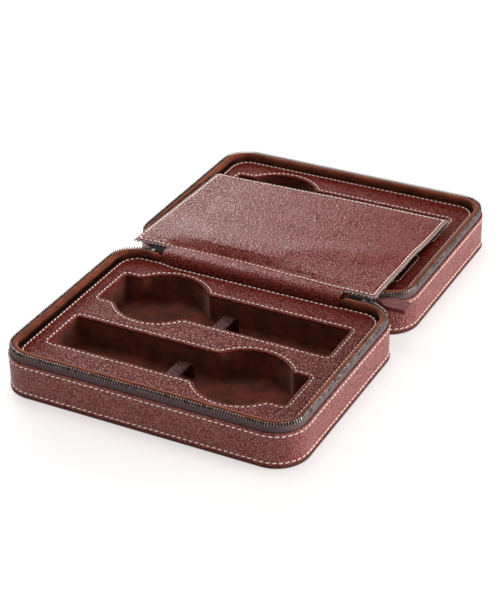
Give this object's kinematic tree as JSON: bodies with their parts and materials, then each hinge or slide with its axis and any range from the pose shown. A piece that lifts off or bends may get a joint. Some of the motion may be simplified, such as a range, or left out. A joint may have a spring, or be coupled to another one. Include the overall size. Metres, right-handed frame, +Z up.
{
  "type": "watch travel case",
  "caption": "Zip-around leather watch case that opens flat into two lined halves with shaped watch pockets, strap loops and a divider flap.",
  "frame": {"origin": "under the middle of the spine, on the surface that the open case lies on", "axes": "+X along the spine towards the zip slider, +Y from the base half to the lid half, +Z up"},
  "size_m": [0.1939, 0.295, 0.0292],
  "materials": {
    "shell_leather": "satin",
    "insert_leather": "satin",
    "flap_leather": "satin",
    "keeper_leather": "satin",
    "pull_leather": "satin",
    "suede": "matte",
    "pocket_suede": "matte",
    "board": "matte",
    "foam": "matte",
    "zip_tape": "matte",
    "zip_metal": "satin",
    "thread": "matte"
  },
  "bodies": {
    "base": {"base_cover": "shell_leather", "base_floor_board": "board", "base_side_leather": "shell_leather", "base_wall_board": "board", "base_suede_lining": "suede", "base_foam": "foam", "base_insert": "insert_leather", "base_front_pocket_liner": "pocket_suede", "base_front_keeper": "keeper_leather", "base_rear_pocket_liner": "pocket_suede", "base_rear_keeper": "keeper_leather", "base_zip_tape": "zip_tape", "base_zip_teeth": "zip_metal", "base_zip_stops": "zip_metal", "base_spine_leather": "shell_leather", "base_hinge_lining": "flap_leather", "base_zip_anchor": "zip_tape"},
    "lid": {"lid_cover": "shell_leather", "lid_floor_board": "board", "lid_side_leather": "shell_leather", "lid_wall_board": "board", "lid_suede_lining": "suede", "lid_foam": "foam", "lid_insert": "insert_leather", "lid_far_pocket_liner": "pocket_suede", "lid_far_keeper": "keeper_leather", "lid_near_pocket_liner": "pocket_suede", "lid_near_keeper": "keeper_leather", "lid_zip_tape": "zip_tape", "lid_zip_teeth": "zip_metal", "lid_zip_stops": "zip_metal", "lid_spine_leather": "shell_leather", "lid_hinge_lining": "flap_leather"},
    "flap": {"flap_face": "flap_leather", "flap_back": "flap_leather", "flap_welt": "flap_leather"},
    "slider": {"zip_slider": "zip_metal"},
    "pull": {"pull_link": "zip_metal", "pull_tab": "pull_leather"}
  },
  "joints": [
    {"name": "lid_hinge", "type": "hinge", "parent": "base", "child": "lid", "pos_m": [0, 0, 0.0278], "axis": [1, 0, 0], "range_deg": [0, 180]},
    {"name": "flap_hinge", "type": "hinge", "parent": "lid", "child": "flap", "pos_m": [0, 0, 0.0278], "axis": [1, 0, 0], "range_deg": [0, 184]},
    {"name": "zip_travel", "type": "slide", "parent": "base", "child": "slider", "axis": [1, 0, 0], "range_m": [0, 0.004]},
    {"name": "pull_swing", "type": "hinge", "parent": "slider", "child": "pull", "pos_m": [0.0721, 0, 0.02525], "axis": [0, 1, 0], "range_deg": [0, 25]}
  ]
}
